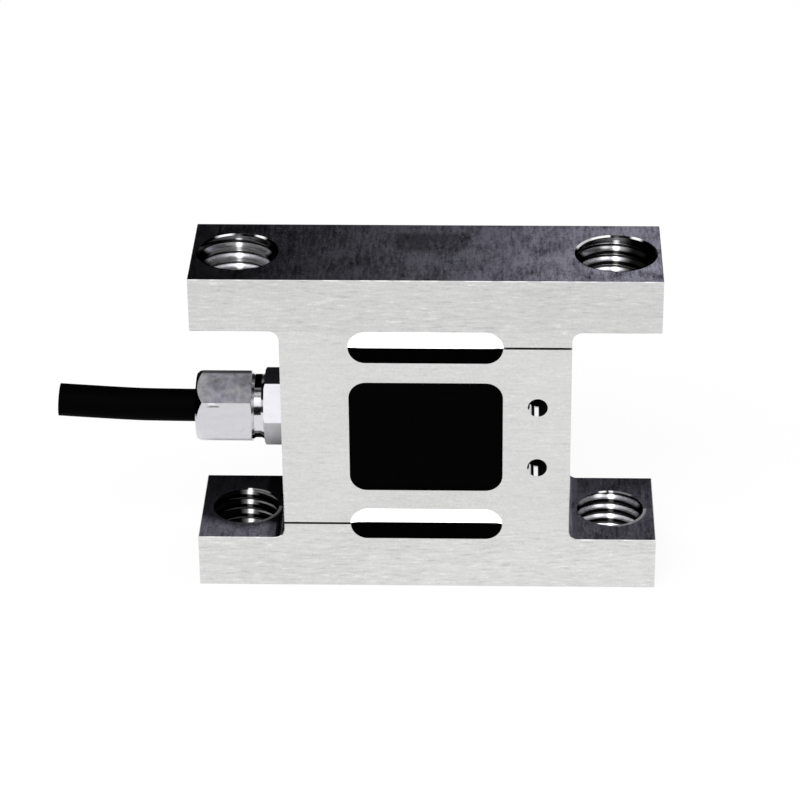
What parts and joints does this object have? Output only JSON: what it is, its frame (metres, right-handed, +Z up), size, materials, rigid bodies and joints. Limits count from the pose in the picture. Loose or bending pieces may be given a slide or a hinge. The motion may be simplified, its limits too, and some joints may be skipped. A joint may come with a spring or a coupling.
{
  "type": "s type load cell",
  "caption": "One-piece machined S-shaped force sensor body with threaded ends, potted gauge window and a gland-held cable.",
  "frame": {"origin": "centre of the bottom bar's underside, on the surface it stands on", "axes": "+Z up along the measured force, +X along the bars away from the cable, -Y out of the front face"},
  "size_m": [0.0915, 0.019, 0.0525],
  "materials": {
    "steel": "fine ground and nickel plated",
    "gland_steel": "turned and nickel plated, bright",
    "potting": "cast black silicone compound",
    "board": "solder mask",
    "solder": "satin",
    "copper": "bare copper",
    "gauge": "polyimide film",
    "resistor": "ceramic chip",
    "rubber": "moulded",
    "jacket": "extruded matte sheath",
    "braid": "tinned copper braid",
    "red": "extruded insulation",
    "black": "extruded insulation",
    "white": "extruded insulation",
    "green": "extruded insulation"
  },
  "bodies": {
    "root": {"flexure_body": "steel", "cavity_potting": "potting", "terminal_board": "board", "solder_joints": "solder", "gauge_leads": "copper", "strain_gauge_upper_left": "gauge", "strain_gauge_upper_right": "gauge", "strain_gauge_lower_left": "gauge", "strain_gauge_lower_right": "gauge", "span_resistor_upper": "resistor", "zero_resistor": "resistor", "span_resistor_lower": "resistor", "gland_body": "gland_steel", "gland_nut": "gland_steel", "gland_seal": "rubber", "gland_washer": "gland_steel", "gland_o_ring": "rubber", "cable_jacket": "jacket", "cable_shield": "braid", "core_conductors": "copper", "core_red": "red", "core_black": "black", "core_white": "white", "core_green": "green"}
  },
  "joints": []
}
